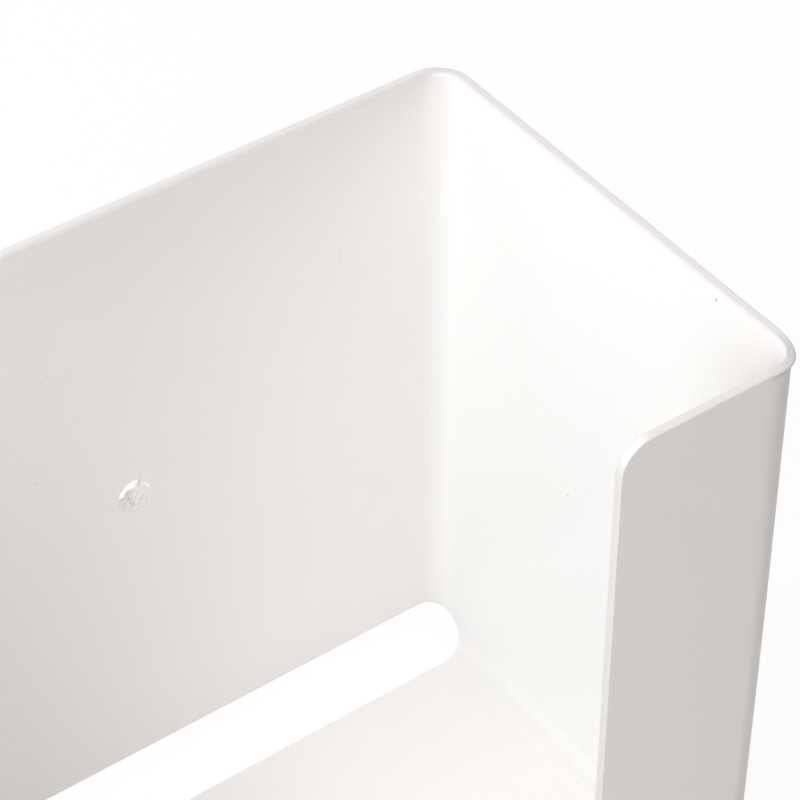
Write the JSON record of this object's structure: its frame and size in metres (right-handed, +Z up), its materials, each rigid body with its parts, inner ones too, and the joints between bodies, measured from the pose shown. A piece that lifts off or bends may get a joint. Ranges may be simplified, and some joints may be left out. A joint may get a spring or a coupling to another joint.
{
  "type": "disposable glove dispenser",
  "caption": "Open-topped wall dispenser for a box of disposable gloves, bent from one white sheet with front flanges, floor tabs and a screw-hole back.",
  "frame": {"origin": "under the middle of the part, in the plane of the undersides of the two floor tabs", "axes": "+X to the right across the width seen from the front, +Y from the front flanges back to the wall, +Z up"},
  "size_m": [0.266, 0.1, 0.149],
  "materials": {
    "sheet": "satin white"
  },
  "bodies": {
    "root": {"bent_sheet": "sheet"}
  },
  "joints": []
}
